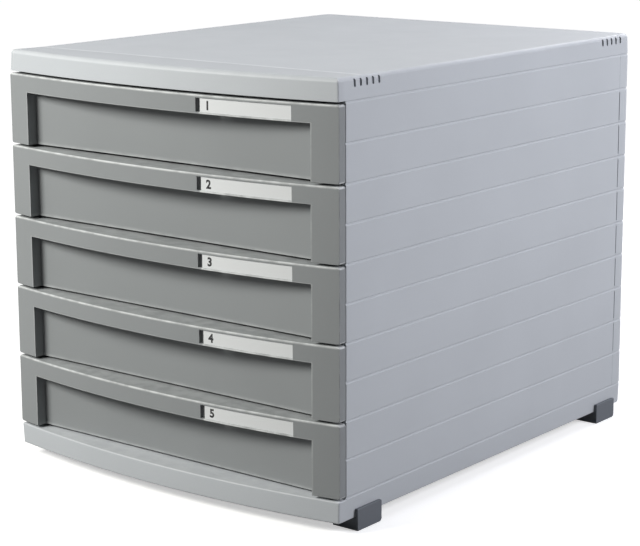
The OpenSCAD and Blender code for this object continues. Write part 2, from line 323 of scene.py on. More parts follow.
def add_node(mat, kind, **sockets):
    """A node with its sockets set by name, where an underscore stands for a space."""
    node = mat.node_tree.nodes.new(kind)
    for name, value in sockets.items():
        node.inputs[name.replace("_", " ")].default_value = value
    return node


def join(mat, *pairs):
    for out, into in pairs:
        mat.node_tree.links.new(out, into)


def noise(mat, coords, size, detail=3.0, roughness=0.5):
    """Noise whose features are about size millimetres wide."""
    node = add_node(mat, "ShaderNodeTexNoise", Scale=MM / size, Detail=detail, Roughness=roughness)
    join(mat, (coords, node.inputs["Vector"]))
    return node.outputs["Fac"]


def spread(mat, value, low, high, new_low, new_high):
    """The value's range from low to high, moved to a new range."""
    node = mat.node_tree.nodes.new("ShaderNodeMapRange")
    for name, number in (("From Min", low), ("From Max", high), ("To Min", new_low), ("To Max", new_high)):
        node.inputs[name].default_value = number
    join(mat, (value, node.inputs["Value"]))
    return node.outputs["Result"]


def blend_colours(mat, factor, first, second, kind="MIX"):
    node = mat.node_tree.nodes.new("ShaderNodeMix")
    node.data_type = "RGBA"
    node.blend_type = kind
    for socket, value in ((node.inputs[0], factor), (node.inputs[6], first), (node.inputs[7], second)):
        if isinstance(value, (int, float, tuple)):
            socket.default_value = value
        else:
            join(mat, (value, socket))
    return node.outputs[2]


def multiply(mat, first, second):
    node = mat.node_tree.nodes.new("ShaderNodeMath")
    node.operation = "MULTIPLY"
    for socket, value in zip(node.inputs, (first, second)):
        if isinstance(value, (int, float)):
            socket.default_value = value
        else:
            join(mat, (value, socket))
    return node.outputs[0]


PAINTED_SHADE = 0.93                # painted shade: share of its tone that a surface keeps where the layer shade is 1
MOTTLE_SIZE = 70            # in millimetres: the slow changes of tone,
GLOSS_SIZE = 25             # those of gloss,
WEAR_AND_HIGHLIGHT_SIZE = 9               # and the patches in worn edges and painted highlights
GLOSS_CHANGE = 0.04
LEAST_WEAR_AND_HIGHLIGHT = 0.45           # of an edge's wear and painted highlight, between the patches
BUMP = 0.35
SLOW_RANGE = (0.3, 0.7)     # where most of a noise's values lie
FINE_RANGE = (0.35, 0.65)
WEAR_AND_HIGHLIGHT_RANGE = (0.35, 0.6)


def plastic(name, colour, worn_and_highlight, roughness, specular, mottle=0.02, grain=0.35, grain_height=0.012):
    """Moulded plastic: a fine grain, slow changes of tone and gloss, paler edges that are wear on some
    parts and painted highlight on others, and painted shade where the layer shade is 1.
    """
    mat = new_material(name)
    coords = mat.node_tree.nodes.new("ShaderNodeTexCoord").outputs["Object"]
    shader = add_node(mat, "ShaderNodeBsdfPrincipled", Specular_IOR_Level=specular)

    slow = spread(mat, noise(mat, coords, MOTTLE_SIZE, 2.0), *SLOW_RANGE, 0.0, 1.0)
    fine = noise(mat, coords, grain, 2.0)
    darker = tuple(c * (1 - mottle) for c in colour[:3]) + (1.0,)
    lighter = tuple(c * (1 + mottle) for c in colour[:3]) + (1.0,)
    tone = blend_colours(mat, slow, darker, lighter)
    speck = spread(mat, fine, *FINE_RANGE, 1 - mottle, 1 + mottle)
    tone = blend_colours(mat, 1.0, tone, speck, "MULTIPLY")

    # paler edges: worn edges on some parts, painted highlights on others
    edge = mat.node_tree.nodes.new("ShaderNodeAttribute")
    edge.attribute_name = "edge_wear_and_highlight"
    patchy = spread(mat, noise(mat, coords, WEAR_AND_HIGHLIGHT_SIZE, 4.0), *WEAR_AND_HIGHLIGHT_RANGE, LEAST_WEAR_AND_HIGHLIGHT, 1.0)
    wear_and_highlight = multiply(mat, edge.outputs["Fac"], patchy)
    # painted shade, where the layer shade is 1
    shade = mat.node_tree.nodes.new("ShaderNodeAttribute")
    shade.attribute_name = "shade"
    tone = blend_colours(mat, 1.0, tone, spread(mat, shade.outputs["Fac"], 0, 1, 1, PAINTED_SHADE), "MULTIPLY")
    tone = blend_colours(mat, wear_and_highlight, tone, worn_and_highlight)

    gloss = spread(mat, noise(mat, coords, GLOSS_SIZE, 4.0, 0.6), *SLOW_RANGE,
                   roughness - GLOSS_CHANGE, roughness + GLOSS_CHANGE)
    bump = add_node(mat, "ShaderNodeBump", Strength=BUMP, Distance=grain_height / MM)
    join(mat,
         (tone, shader.inputs["Base Color"]),
         (gloss, shader.inputs["Roughness"]),
         (fine, bump.inputs["Height"]),
         (bump.outputs["Normal"], shader.inputs["Normal"]))
    out = mat.node_tree.nodes.new("ShaderNodeOutputMaterial")
    join(mat, (shader.outputs["BSDF"], out.inputs["Surface"]))
    return mat


CASE_COLOUR = srgb(190, 194, 199)
FRONT_COLOUR = srgb(139, 142, 144)
TRAY_COLOUR = srgb(166, 168, 169)
FOOT_COLOUR = srgb(111, 115, 121)
CARD_COLOUR = srgb(219, 221, 223)
INK_COLOUR = srgb(28, 28, 30)

# The second colour is that of paler edges: wear, and on the case and the drawer fronts also painted
# highlights and painted light.
case_plastic = plastic("case_plastic", CASE_COLOUR, srgb(209, 212, 216), 0.5, 0.22)
front_plastic = plastic("front_plastic", FRONT_COLOUR, srgb(213, 216, 217), 0.5, 0.15)
tray_plastic = plastic("tray_plastic", TRAY_COLOUR, srgb(186, 188, 189), 0.45, 0.4)
foot_rubber = plastic("foot_rubber", FOOT_COLOUR, srgb(132, 136, 143), 0.7, 0.1)
card_paper = plastic("card_paper", CARD_COLOUR, CARD_COLOUR, 0.6, 0.2, mottle=0.01)
card_ink = plastic("card_ink", INK_COLOUR, INK_COLOUR, 0.5, 0.3, mottle=0.06)


# ---------------------------------------------------------------- case

SLOT_PITCH = 6.0
SLOT_W = 2.0
SLOT_END_R = SLOT_W * 0.48    # a little under half the width, so that a flat is left between two arcs
SLOT_COUNT = 5
SLOT_IN = 0.5                 # how far a slot reaches past the inside of the wall
SLOT_Z0 = LID_Z + 8.2
SLOT_Z1 = LID.z1 - 1.4
FOOT_LENGTH = 24.5
FOOT_FRONT_INSET = 16.0       # between the front corners and the front feet
FOOT_REAR_INSET = 15.0        # between the rear feet and the back
FOOT_DEPTHS = {
    "front": FOOT_FRONT_INSET + FOOT_LENGTH / 2,
    "rear": CASE_BACK - FOOT_REAR_INSET - FOOT_LENGTH / 2,
}

LID_EDGE_R = 3.0
# painted highlight along the lid's rounded top edges
LID_EDGE_HIGHLIGHT = 0.3
LID_FOOT_R = 0.5     # lower edge of the lid's front
FRONT_EDGE_R = 0.9   # the lid's and the base's upright edges at the front corners

# The strip along the lid's front, which rises from a straight crease to the front edge
CREASE_Y = 26.0      # depth of the crease, from the front corners
CREASE_DIP = 0.6     # how far the top behind the crease lies below the front edge
CREASE_SOFT = 2.5    # half the width over which the crease is rounded
CREASE_HIGHLIGHT = 1.0    # a painted highlight along the crease itself
STRIP_STEP = 5.0     # between the rings of edges across the strip


def lid_dip(x, y):
    """How far the lid's top lies below its front edge; y is the depth from the front corners."""
    ahead = CREASE_Y - y
    if ahead < CREASE_SOFT:
        ahead = max(0.0, ahead + CREASE_SOFT) ** 2 / (4 * CREASE_SOFT)
    return CREASE_DIP * (1 - min(1.0, ahead / (CREASE_Y - bow(x))))


def front_upright(a, m):
    """True for the upright edges at the two front corners."""
    return a == 2 and m.y < NEAR and abs(m.x) > HALF_W - NEAR


def front_or_side(m):
    """True on the bowed face, on the arcs at its ends and on the two sides."""
    return m.y < FRONT_EDGE_R + NEAR or abs(m.x) > HALF_W - NEAR


def subtract(bm, cutter):
    """The first mesh with the shape of the second cut out of it."""
    objects = []
    for part in (bm, cutter):
        mesh = bpy.data.meshes.new("work")
        part.to_mesh(mesh)
        part.free()
        obj = bpy.data.objects.new("work", mesh)
        bpy.context.scene.collection.objects.link(obj)
        objects.append(obj)
    cut = objects[0].modifiers.new("cut", "BOOLEAN")
    cut.operation = "DIFFERENCE"
    cut.solver = "EXACT"
    cut.object = objects[1]
    depsgraph = bpy.context.evaluated_depsgraph_get()
    mesh = bpy.data.meshes.new_from_object(objects[0].evaluated_get(depsgraph))
    result = bmesh.new()
    result.from_mesh(mesh)
    for work in (mesh, *[obj.data for obj in objects]):
        bpy.data.meshes.remove(work)
    return result


def slot_cutter():
    """The slots through the lid's side walls, above each foot, with rounded ends."""
    steps = []
    for middle in FOOT_DEPTHS.values():
        first = BACK + middle - (SLOT_COUNT - 1) / 2 * SLOT_PITCH - SLOT_W / 2
        for k in range(SLOT_COUNT):
            d0 = first + k * SLOT_PITCH
            for x0, x1 in ((-HALF_W - PAST, SLOT_IN - INNER_HALF), (INNER_HALF - SLOT_IN, HALF_W + PAST)):
                steps.append((True, x0, x1, d0, d0 + SLOT_W, SLOT_Z0, SLOT_Z1))
    bm = block_mesh(steps)
    round_edges(bm, SLOT_END_R, 4, lambda a, m: a == 0)
    return bm


def make_lid():
    """The top cover: drafted, bowed at the front, hollow below, with slots above the feet."""
    front_z = LID_Z + FRONT_GAP / 2
    back = BACK + CASE_BACK

    bm = block_mesh([
        (True, -HALF_W, HALF_W, 0, back, LID_Z, LID.z1),
        (False, -INNER_HALF, INNER_HALF, WALL, back - WALL, LID_Z - PAST, LID.z1 - WALL),
        (False, -HALF_W - PAST, HALF_W + PAST, -PAST, BACK + PANEL_FRONT, LID_Z - PAST, front_z),
    ])
    # the top edges, with a painted highlight
    round_edges(bm, LID_EDGE_R, 7, lambda a, m: m.z > LID.z1 - NEAR, wear_and_highlight=LID_EDGE_HIGHLIGHT)
    round_edges(bm, FRONT_EDGE_R, 4, front_upright, wear_and_highlight=0.0)
    round_edges(bm, LID_FOOT_R, 2, lambda a, m: abs(m.z - front_z) < NEAR and front_or_side(m))
    bm = subtract(bm, slot_cutter())
    round_corners(bm)
    cut_groove(bm, LID_Z)
    cut_loops(bm, 0, steps_between(-HALF_W, HALF_W, BOW_STEP))
    strip = steps_between(PANEL_FRONT, CREASE_Y - CREASE_SOFT, STRIP_STEP)
    cut_loops(bm, 1, [BACK + y for y in strip])
    cut_loops(bm, 1, [BACK + CREASE_Y + CREASE_SOFT * k / 2 for k in range(-2, 3)])
    height = LID.z1 - LID_Z
    layer = bm.verts.layers.float["edge_wear_and_highlight"]
    shade = bm.verts.layers.float["shade"]
    for v in bm.verts:
        rise = (v.co.z - LID_Z) / height
        on_top = v.co.z > LID.z1 - LID_EDGE_R
        if v.co.y < BACK / 2:
            y = v.co.y + bow(v.co.x)
            # painted shade on the fascia below its top rounding
            if v.co.z < LID.z1 - LID_EDGE_R + NEAR:
                v[shade] = 1.0
            v.co.y += LID_DRAFT * rise
        else:
            y = v.co.y - BACK
        # a painted highlight along the crease, and painted shade on the top in front of it
        if v.co.z > LID.z1 - NEAR and abs(y - CREASE_Y) < CREASE_SOFT / 2 + NEAR:
            v[layer] = CREASE_HIGHLIGHT
        elif v.co.z > LID.z1 - NEAR and y < CREASE_Y:
            v[shade] = 1.0
        if on_top:
            v.co.z -= lid_dip(v.co.x, y)
        v.co.x *= 1 - LID_DRAFT * rise / HALF_W
    return make_piece(finish_mesh(bm, "lid"), "lid", "case", case_plastic, ["top_cover"])


BASE_EDGE_R = 1.2
BASE_EDGE_WEAR = 0.6
LEDGE_EDGE_R = 1.0
LEDGE_LIGHT = 0.7              # painted light on the ledge in front of the lowest drawer, and a painted highlight along its edge
FOOT_FLANGE_T = 2.0
PEG_X = (HALF_W + FOOT_FLANGE_T - FOOT_LENGTH + INNER_HALF) / 2
PEG_R = 4.0
PEG_GAP = 0.1
PEG_ROUND_R = PEG_R * 0.98    # a little under half its width, so that a flat is left between two arcs


def peg_box(side, depth, radius):
    """The square round a foot's peg: x0, x1, d0, d1."""
    x = side * PEG_X
    return x - radius, x + radius, BACK + depth - radius, BACK + depth + radius


def make_base():
    """The base: an open hollow with a ledge along the front, and a hole for each foot's peg."""
    ledge_z = STACK_Z - FRONT_GAP / 2
    floor_z = BASE.z0 + WALL
    back = BACK + CASE_BACK
    sides = BACK + PANEL_FRONT
    steps = [
        (True, -HALF_W, HALF_W, 0, back, BASE.z0, STACK_Z),
        (False, -INNER_HALF, INNER_HALF, WALL, back - WALL, floor_z, ledge_z - WALL),
        (False, -INNER_HALF, INNER_HALF, sides + WALL, back - WALL, floor_z, STACK_Z + PAST),
        (False, -INNER_HALF, INNER_HALF, sides, sides + WALL, ledge_z, STACK_Z + PAST),
        (False, -HALF_W - PAST, HALF_W + PAST, -PAST, sides, ledge_z, STACK_Z + PAST),
    ]
    for depth in FOOT_DEPTHS.values():
        for side in (-1, 1):
            steps.append((False, *peg_box(side, depth, PEG_R + PEG_GAP), BASE.z0 - PAST, floor_z))
    bm = block_mesh(steps)

    def on_hole(a, m):
        beside = abs(abs(m.x) - PEG_X) < PEG_R + PEG_GAP + NEAR
        return beside and m.y > BACK and m.z < floor_z + NEAR

    def lower_edge(a, m):
        return m.z < BASE.z0 + NEAR and not on_hole(a, m)

    def ledge_edge(a, m):
        return abs(m.z - ledge_z) < NEAR and front_or_side(m)

    round_edges(bm, PEG_ROUND_R, 5, lambda a, m: a == 2 and on_hole(a, m))
    round_edges(bm, BASE_EDGE_R, 4, lower_edge, wear_and_highlight=BASE_EDGE_WEAR)
    round_edges(bm, FRONT_EDGE_R, 4, front_upright, wear_and_highlight=0.0)
    # the ledge's front edge, with a painted highlight
    round_edges(bm, LEDGE_EDGE_R, 4, ledge_edge, wear_and_highlight=LEDGE_LIGHT)
    round_corners(bm)
    cut_groove(bm, STACK_Z)
    cut_loops(bm, 0, steps_between(-HALF_W, HALF_W, BOW_STEP))
    height = STACK_Z - BASE.z0
    layer = bm.verts.layers.float["edge_wear_and_highlight"]
    for v in bm.verts:
        # painted light on the whole top of the ledge
        if v.co.y < BACK + PANEL_FRONT + NEAR and abs(v.co.z - ledge_z) < NEAR:
            v[layer] = LEDGE_LIGHT
        drop = (STACK_Z - v.co.z) / height
        if v.co.y < BACK / 2:
            v.co.y += BASE_DRAFT * drop
        v.co.x *= 1 - BASE_DRAFT * drop / HALF_W
    return make_piece(finish_mesh(bm, "base"), "base", "case", case_plastic, ["base_plate"])


# The tongues that hold the case together, as in the frame
TONGUE_T = 2.5
TONGUE_GAP = 0.2
TONGUE_H = 7.0
TONGUE_ROOT = 6.0
TONGUE_END_GAP = 6.8
LIP_GAP = 1.0                 # above and below the rear cover's two upright lips
TONGUE_FACE = INNER_HALF - TONGUE_GAP
TONGUE_IN = TONGUE_FACE - TONGUE_T

# The runners in the case and the trays' flanges and lugs that move along them, as in the frame
TRAY = node_box("drawer_tray_1")
TRAY_PLACE = LID_Z - PITCH    # the top drawer's place, from which heights on it are measured
LUG_W = 2.0                   # how far a lug stands out from its flange
FLANGE_HALF = TRAY.x1 - LUG_W
FLANGE_T = 2.5
FLANGE_Z1 = TRAY.z1 - TRAY_PLACE
FLANGE_Z0 = FLANGE_Z1 - FLANGE_T
RIB_FRONT = FRONT_BACK + 0.3
RIB_END = SEAM - TONGUE_H - 0.7
LEDGE_W = 6.0
LEDGE_T = 3.0
RUN_GAP = 0.3                 # below a flange
TOP_GAP = 0.5                 # above it
RIB_T = 2.2
STOP_L = 3.0
STOP_GAP = 0.5                # between a stop and the flange's side


def side_panel_steps():
    """The right side panel with its tongues, and a ledge, a rib and a stop for each drawer."""
    ledge_x = INNER_HALF - LEDGE_W
    steps = [(True, INNER_HALF, HALF_W, BACK + PANEL_FRONT, BACK + SEAM, STACK_Z, LID_Z)]
    d0, d1 = BACK + PANEL_FRONT + TONGUE_END_GAP, BACK + RIB_END
    for z, inward in ((STACK_Z, 1), (LID_Z, -1)):
        root, tip = z + inward * TONGUE_ROOT, z - inward * TONGUE_H
        steps.append((True, TONGUE_IN, INNER_HALF, d0, d1, min(z, root), max(z, root)))
        steps.append((True, TONGUE_IN, TONGUE_FACE, d0, d1, min(z, tip), max(z, tip)))
    for k in range(DRAWERS):
        z = STACK_Z + k * PITCH
        low, high = z + FLANGE_Z0 - RUN_GAP, z + FLANGE_Z1 + TOP_GAP
        steps.append((True, ledge_x, INNER_HALF, BACK + RIB_FRONT, d1, low - LEDGE_T, low))
        steps.append((True, ledge_x, INNER_HALF, BACK + RIB_FRONT, d1, high, high + RIB_T))
        stop = (BACK + RIB_FRONT, BACK + RIB_FRONT + STOP_L)
        steps.append((True, FLANGE_HALF + STOP_GAP, INNER_HALF, *stop, low, high))
    return steps


PANEL_EDGE_R = 0.35
# painted highlight along the side panels' upright outer edges
PANEL_EDGE_HIGHLIGHT = 0.8


def make_side_panel(side, name):
    """The right (side 1) or left (side -1) panel, with the grooves between its bands."""
    bm = block_mesh(side_panel_steps())
    # the upright outer edges, with a painted highlight
    round_edges(bm, PANEL_EDGE_R, 3, lambda a, m: a == 2 and m.x > HALF_W - NEAR, wear_and_highlight=PANEL_EDGE_HIGHLIGHT)
    for k in range(BANDS + 1):
        cut_groove(bm, STACK_Z + k * BAND)
    if side < 0:
        mirror(bm)
    return make_piece(finish_mesh(bm, name), name, "case", case_plastic, [name])


SEAM_W = 0.8
SEAM_END_W = 0.48    # beside the lowest band that has it
SEAM_DEPTH = 1.6
SEAM_EDGE_R = 0.3
SEAM_WEAR = 0.3


def make_rear_cover():
    """The back with its two flanges, the seam beside each side panel, and the tongues that hold it."""
    back = BACK + CASE_BACK
    inner_back = back - WALL
    seam = BACK + SEAM
    steps = [
        (True, -HALF_W, HALF_W, seam, back, STACK_Z, LID_Z),
        (False, -INNER_HALF, INNER_HALF, seam - PAST, inner_back, STACK_Z - PAST, LID_Z + PAST),
    ]
    for k in range(1, BANDS - 1):
        z0 = STACK_Z + k * BAND + GROOVE_MARGIN
        z1 = STACK_Z + (k + 1) * BAND - GROOVE_MARGIN
        width = SEAM_END_W if k == 1 else SEAM_W
        for x0, x1 in ((-HALF_W - PAST, SEAM_DEPTH - HALF_W), (HALF_W - SEAM_DEPTH, HALF_W + PAST)):
            steps.append((False, x0, x1, seam - PAST, seam + width, z0, z1))
    half = INNER_HALF - TONGUE_T - TONGUE_END_GAP
    for z, inward in ((STACK_Z, 1), (LID_Z, -1)):
        root, tip = z + inward * TONGUE_ROOT, z - inward * TONGUE_H
        d0 = inner_back - TONGUE_GAP - TONGUE_T
        steps.append((True, -half, half, d0, inner_back, min(z, root), max(z, root)))
        steps.append((True, -half, half, d0, inner_back - TONGUE_GAP, min(z, tip), max(z, tip)))
    lip_z0, lip_z1 = STACK_Z + TONGUE_ROOT + LIP_GAP, LID_Z - TONGUE_ROOT - LIP_GAP
    for side in (-1, 1):
        xs = sorted((side * TONGUE_IN, side * INNER_HALF))
        steps.append((True, *xs, seam, inner_back, lip_z0, lip_z1))
        xs = sorted((side * TONGUE_IN, side * TONGUE_FACE))
        steps.append((True, *xs, seam - TONGUE_H, seam, lip_z0, lip_z1))
    bm = block_mesh(steps)

    def beside_seam(a, m):
        return a == 2 and m.y < seam + SEAM_W + NEAR and abs(m.x) > HALF_W - NEAR

    round_edges(bm, SEAM_EDGE_R, 2, beside_seam, wear_and_highlight=SEAM_WEAR)
    round_corners(bm)
    for k in range(BANDS + 1):
        cut_groove(bm, STACK_Z + k * BAND)
    return make_piece(finish_mesh(bm, "back"), "back", "case", case_plastic, ["rear_cover"])


FOOT_FLANGE_H = 6.0
FOOT_UPPER_R = 1.0            # rear end of the flange, at the top
FOOT_LOWER_R = 2.2            # rear end of the sole
FOOT_FRONT_R = 0.4
FOOT_SIDE_R = 0.35
FOOT_INNER_R = 9.5            # the sole's corners under the base
FOOT_REACH = 20.0             # from the flange's outside to the sole's end under the base


def make_foot(side, end):
    """A foot: a sole under the base, a flange up its side, and the peg that holds it."""
    depth = FOOT_DEPTHS[end]
    out = HALF_W + FOOT_FLANGE_T
    d0, d1 = BACK + depth - FOOT_LENGTH / 2, BACK + depth + FOOT_LENGTH / 2
    bm = block_mesh([
        (True, out - FOOT_REACH, out, d0, d1, 0, BASE.z0),
        (True, HALF_W, out, d0, d1, 0, BASE.z0 + FOOT_FLANGE_H),
        (True, *peg_box(1, depth, PEG_R), BASE.z0 - PAST, BASE.z0 + FOOT_FLANGE_H),
    ])

    def on_peg(a, m):
        beside = abs(m.x - PEG_X) < PEG_R + NEAR and abs(m.y - BACK - depth) < PEG_R + NEAR
        return a == 2 and beside and m.z > BASE.z0 - NEAR

    def upper_end(a, m):
        return a == 0 and m.y > d1 - NEAR and m.x > HALF_W - NEAR and m.z > BASE.z0

    def lower_end(a, m):
        return a == 0 and m.y > d1 - NEAR and m.z < NEAR

    def front_end(a, m):
        return a == 0 and m.y < d0 + NEAR and (m.x > HALF_W - NEAR or m.z < NEAR)

    round_edges(bm, PEG_ROUND_R, 5, on_peg)
    round_edges(bm, FOOT_INNER_R, 6, lambda a, m: a == 2 and m.x < out - FOOT_REACH + NEAR)
    round_edges(bm, FOOT_UPPER_R, 4, upper_end)
    round_edges(bm, FOOT_LOWER_R, 5, lower_end)
    round_edges(bm, FOOT_FRONT_R, 3, front_end)
    round_edges(bm, FOOT_SIDE_R, 2, lambda a, m: m.x > out - NEAR)
    if side < 0:
        mirror(bm)
    name = f"foot_{end}_{'left' if side < 0 else 'right'}"
    return make_piece(finish_mesh(bm, name), name, "case", foot_rubber, [name])


# ---------------------------------------------------------------- drawers

FRONT_HALF = FRONT.x1
FRONT_Z0 = FRONT_GAP / 2                    # heights on a drawer are measured from its place in the stack
FRONT_Z1 = PITCH - FRONT_GAP / 2
SKIN = 2.5
RAIL_H = 11.6
RAIL_Z = FRONT_Z1 - RAIL_H
RECESS_HALF = HALF_W - 18.5
PANEL_T = 4.2                               # recessed panel, whose face stands nearer than in the frame
PANEL_FACE = FRONT_BACK - PANEL_T
FRONT_CORNER_R = 1.6
OUTLINE_R = 1.0
# painted highlight on a front's rounded outline
OUTLINE_HIGHLIGHT = 0.2
RECESS_EDGE_R = 0.5
# painted highlight on the recess's edges, and the share of it spilled onto the faces beside them
RECESS_HIGHLIGHT = 0.7
RECESS_SPILL = 0.5
RETURN_HALF = INNER_HALF - 0.8              # where a front is wider than this it ends earlier
RETURN_BACK = FRONT_BACK - SKIN - 0.3       # where a front's side ends, ahead of the side panel
EDGE_LINE = 0.7                             # width of the painted highlight line beside an edge
# painted light on a front's top face
TOP_LIGHT = 0.35
# painted highlight along the front's top edge; the sill below the card is made as pale
PALE_LINE = 1.0

CARD = node_box("label_card_1")
CARD_X0, CARD_X1 = CARD.x0, CARD.x1
CARD_T = 0.6
LIP_T = 0.5
LIP_COVER = 0.45
CARD_GAP = 0.1
CARD_EDGE_R = 0.12
EJECT_W = 2.9                               # the slit that a card is pushed out by
SILL_H = 1.1
WINDOW_H = 8.6
WINDOW_Z0 = RAIL_Z + SILL_H
WINDOW_Z1 = WINDOW_Z0 + WINDOW_H
LABEL_MARGIN = 0.5                          # round the window, where no edge is rounded


def drawer_front_steps():
    """One drawer front: frame, recessed panel, hollow grip and stiles, and the pocket for the card."""
    face_back = BACK + PANEL_FACE
    back = BACK + FRONT_BACK
    steps = [
        (True, -FRONT_HALF, FRONT_HALF, 0, back, FRONT_Z0, FRONT_Z1),
        (False, -RECESS_HALF, RECESS_HALF, -PAST, face_back, FRONT_Z0 - PAST, RAIL_Z),
        (False, -RECESS_HALF, RECESS_HALF, SKIN, face_back, RAIL_Z - PAST, FRONT_Z1 - SKIN),
    ]
    for side in (-1, 1):
        hollow = sorted((side * (RECESS_HALF + SKIN), side * (FRONT_HALF - SKIN)))
        notch = sorted((side * RETURN_HALF, side * (FRONT_HALF + PAST)))
        steps.append((False, *hollow, SKIN, back + PAST, FRONT_Z0 + SKIN, FRONT_Z1 - SKIN))
        steps.append((False, *notch, BACK + RETURN_BACK, back + PAST, FRONT_Z0 - PAST, FRONT_Z1 + PAST))
    pocket = LIP_T + CARD_T + 2 * CARD_GAP
    steps += [
        (False, CARD_X0, CARD_X1, -PAST, LIP_T, WINDOW_Z0, WINDOW_Z1),
        (False, CARD_X0 - PAST, CARD_X1 + CARD_GAP, LIP_T, pocket,
         WINDOW_Z0 - LIP_COVER, WINDOW_Z1 + LIP_COVER),
        (False, CARD_X0 - EJECT_W, CARD_X0, -PAST, SKIN, WINDOW_Z0, WINDOW_Z1),
    ]
    return steps


def on_label(m):
    """True in and round the label's window."""
    across = CARD_X0 - EJECT_W - LABEL_MARGIN < m.x < CARD_X1 + LABEL_MARGIN
    upright = WINDOW_Z0 - LABEL_MARGIN < m.z < WINDOW_Z1 + LABEL_MARGIN
    return across and upright and m.y < SKIN + NEAR


def wear_front(bm):
    """Paints light on the top, a painted highlight on the line along its front edge, and makes the sill
    below the card pale.
    """
    layer = bm.verts.layers.float["edge_wear_and_highlight"]
    for v in bm.verts:
        x, y, z = v.co
        below_card = CARD_X0 - NEAR < x < CARD_X1 + NEAR and RAIL_Z - NEAR < z < WINDOW_Z0 + NEAR
        # painted light on the top face
        if z > FRONT_Z1 - NEAR and y > OUTLINE_R - NEAR:
            v[layer] = TOP_LIGHT
        # painted highlight along the top edge
        elif z > FRONT_Z1 - OUTLINE_R - NEAR and y < OUTLINE_R:
            v[layer] = PALE_LINE
        # the sill below the card, made pale
        elif below_card and y < RECESS_EDGE_R:
            v[layer] = PALE_LINE


def front_mesh():
    """The mesh that the five drawer fronts share, at the bottom drawer's place."""
    bm = block_mesh(drawer_front_steps())
    round_edges(bm, FRONT_CORNER_R, 4, lambda a, m: a == 1 and abs(m.x) > FRONT_HALF - NEAR)
    # rings that keep the painted highlight beside the edges narrow
    beside = [RECESS_HALF + RECESS_EDGE_R + EDGE_LINE, FRONT_HALF - FRONT_CORNER_R - EDGE_LINE]
    cut_loops(bm, 0, [side * x for x in beside for side in (-1, 1)])
    cut_loops(bm, 2, [FRONT_Z0 + FRONT_CORNER_R + EDGE_LINE, RAIL_Z + RECESS_EDGE_R + EDGE_LINE * 0.5,
                      FRONT_Z1 - OUTLINE_R - EDGE_LINE])

    def top_line(a, m):
        return m.y < NEAR and m.z > FRONT_Z1 - FRONT_CORNER_R and abs(m.x) < FRONT_HALF - NEAR

    def outline(a, m):
        on_side = abs(m.x) > FRONT_HALF - FRONT_CORNER_R
        on_foot = m.z < FRONT_Z0 + NEAR and abs(m.x) > RECESS_HALF
        return m.y < NEAR and (on_side or on_foot)

    def recess(a, m):
        opening = m.y < NEAR and abs(m.x) < RECESS_HALF + NEAR and m.z < RAIL_Z + NEAR
        panel_foot = a == 0 and abs(m.y - BACK - PANEL_FACE) < NEAR and m.z < FRONT_Z0 + NEAR
        wall_foot = a == 1 and m.z < FRONT_Z0 + NEAR and abs(abs(m.x) - RECESS_HALF) < NEAR
        return (opening or panel_foot or wall_foot) and not on_label(m)

    # the outline and the recess's edges, with painted highlights
    round_edges(bm, OUTLINE_R, 5, lambda a, m: top_line(a, m) or outline(a, m), wear_and_highlight=OUTLINE_HIGHLIGHT)
    round_edges(bm, RECESS_EDGE_R, 3, recess, wear_and_highlight=RECESS_HIGHLIGHT, spill=RECESS_SPILL)
    cut_loops(bm, 0, steps_between(-FRONT_HALF, FRONT_HALF, BOW_STEP))
    # painted light and highlight on the top, and the pale sill
    wear_front(bm)
    return finish_mesh(bm, "drawer_front")


def card_mesh():
    """A label card, curved like the rail that holds it."""
    depth = LIP_T + CARD_GAP
    z0, z1 = WINDOW_Z0 - LIP_COVER + CARD_GAP, WINDOW_Z1 + LIP_COVER - CARD_GAP
    bm = block_mesh([(True, CARD_X0, CARD_X1, depth, depth + CARD_T, z0, z1)])
    round_edges(bm, CARD_EDGE_R, 2, lambda a, m: True)
    cut_loops(bm, 0, steps_between(CARD_X0, CARD_X1, BOW_STEP))
    return finish_mesh(bm, "label_card")


TRAY_WALL = 2.0
TRAY_HALF = FLANGE_HALF - 3.8               # half the width of the tray's box, without its flanges
TRAY_CORNER_R = 5.0
TRAY_ROUND_R = TRAY_CORNER_R - 0.1          # stops short of the flanges, which begin where the corner ends
TRAY_FLOOR_R = 1.6                          # where the walls meet the floor inside
TRAY_FOOT_R = 1.2
TRAY_RIM_R = 0.5
FLANGE_END = BACK + RIB_END - 1.0
LUG_L = 6.0
LUG_D = FLANGE_END - 47.7 - LUG_L           # front end of the lugs


